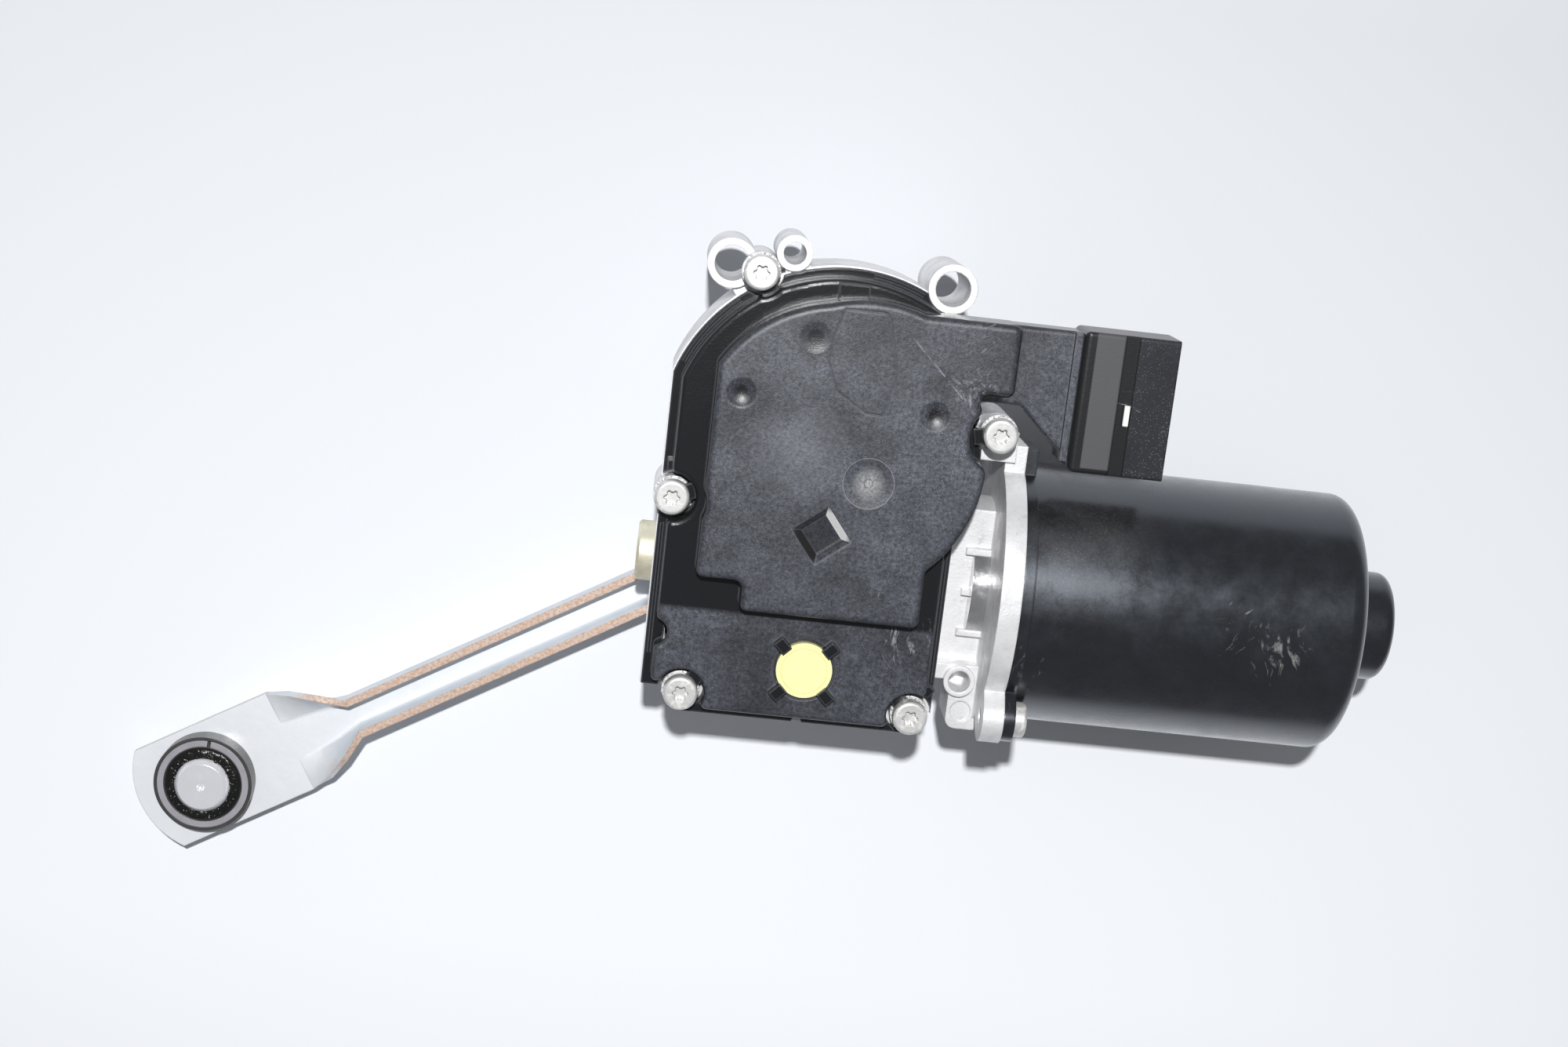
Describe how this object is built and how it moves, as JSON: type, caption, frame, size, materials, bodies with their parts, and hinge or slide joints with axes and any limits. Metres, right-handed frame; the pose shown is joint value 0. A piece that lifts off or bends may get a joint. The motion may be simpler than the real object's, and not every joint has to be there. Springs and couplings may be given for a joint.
{
  "type": "wiper motor",
  "caption": "Geared permanent-magnet motor with an aluminium gear case, black cover and connector, output crank and an open-ended link rod for windscreen wipers.",
  "frame": {"origin": "centre of the output shaft's free end, on the plane that the unit lies on", "axes": "+Z along the output shaft from the crank towards the cover, +X along the armature towards the closed end of the motor can, +Y across towards the pair of through-bolt bosses"},
  "size_m": [0.3076, 0.1761, 0.0645],
  "materials": {
    "cast_aluminium": "as cast, fine grain",
    "cover_plastic": "semi-gloss moulded, dusty",
    "gasket_rubber": "matt",
    "vent_plastic": "pale yellow, satin",
    "screw_zinc": "zinc plated, lightly corroded",
    "can_paint": "gloss black over deep-drawn steel",
    "ferrite": "ground ferrite",
    "clip_steel": "spring steel",
    "bush_bronze": "sintered bronze",
    "plug_zinc": "yellow zinc",
    "bearing_steel": "polished",
    "holder_plastic": "glass-filled",
    "carbon": "copper graphite",
    "spring_steel": "drawn wire",
    "seal_rubber": "greased",
    "board_green": "solder mask",
    "component_black": "moulded",
    "choke_copper": "enamelled wire on ferrite",
    "pin_tin": "tinned",
    "connector_plastic": "glass-filled, dusty",
    "shaft_steel": "ground",
    "core_steel": "laminated",
    "winding_copper": "enamelled copper",
    "wheel_acetal": "natural acetal",
    "ring_steel": "black phosphated",
    "magnet_black": "bonded",
    "crank_zinc": "zinc plated",
    "liner_white": "natural acetal",
    "rod_zinc": "bright zinc, rusty cut edges",
    "socket_plastic": "moulded, greased",
    "ring_plastic": "grey moulded",
    "ball_steel": "turned and polished"
  },
  "bodies": {
    "housing": {"gear_housing": "cast_aluminium", "cover_gasket": "gasket_rubber", "gear_cover": "cover_plastic", "vent_cap": "vent_plastic", "cover_screws": "screw_zinc", "can_screws": "screw_zinc", "motor_can": "can_paint", "field_magnets": "ferrite", "magnet_clips": "clip_steel", "rear_bush": "bush_bronze", "worm_end_bush": "bush_bronze", "worm_end_plug": "plug_zinc", "bearing_outer_ring": "bearing_steel", "bearing_balls": "bearing_steel", "brush_holder": "holder_plastic", "brushes": "carbon", "brush_springs": "spring_steel", "shaft_bush": "bush_bronze", "shaft_seal": "seal_rubber", "circuit_board": "board_green", "board_components": "component_black", "noise_chokes": "choke_copper", "connector_pins": "pin_tin", "connector_shroud": "connector_plastic"},
    "armature": {"armature_shaft": "shaft_steel", "armature_core": "core_steel", "armature_winding": "winding_copper", "commutator": "winding_copper", "thrust_ball": "bearing_steel", "bearing_inner_ring": "bearing_steel"},
    "output": {"worm_wheel": "wheel_acetal", "wheel_hub": "shaft_steel", "output_shaft": "shaft_steel", "sensor_magnet": "magnet_black", "retaining_ring": "ring_steel", "crank_arm": "crank_zinc", "crank_nut": "crank_zinc", "ball_stud": "crank_zinc", "grease_seal": "seal_rubber"},
    "ball_liner": {"ball_liner": "liner_white"},
    "rod": {"link_rod": "rod_zinc", "crank_end_socket": "socket_plastic", "far_end_socket": "socket_plastic", "cup_rings": "ring_plastic", "far_ball_liner": "liner_white"},
    "far_ball": {"far_ball_stud": "ball_steel"}
  },
  "joints": [
    {"name": "armature_spin", "type": "hinge", "parent": "housing", "child": "armature", "pos_m": [0, -0.033, 0.0315], "axis": [1, 0, 0], "range_deg": [-2240, 3360]},
    {"name": "output_turn", "type": "hinge", "parent": "housing", "child": "output", "pos_m": [0, 0, 0], "axis": [0, 0, 1], "range_deg": [-60, 40]},
    {"name": "rod_swing", "type": "hinge", "parent": "output", "child": "ball_liner", "pos_m": [-0.01702, -0.03341, 0.01], "axis": [0, 0, 1], "range_deg": [-45, 50]},
    {"name": "rod_tilt", "type": "hinge", "parent": "ball_liner", "child": "rod", "pos_m": [-0.01702, -0.03341, 0.01], "axis": [-0.5045, 0.8634, 0], "range_deg": [-8, 8]},
    {"name": "far_ball_turn", "type": "hinge", "parent": "rod", "child": "far_ball", "pos_m": [-0.14748, -0.10965, 0.01], "axis": [0, 0, 1], "continuous": true}
  ],
  "couplings": [
    {"joint": "output_turn", "follows": "armature_spin", "ratio": -0.017857}
  ]
}
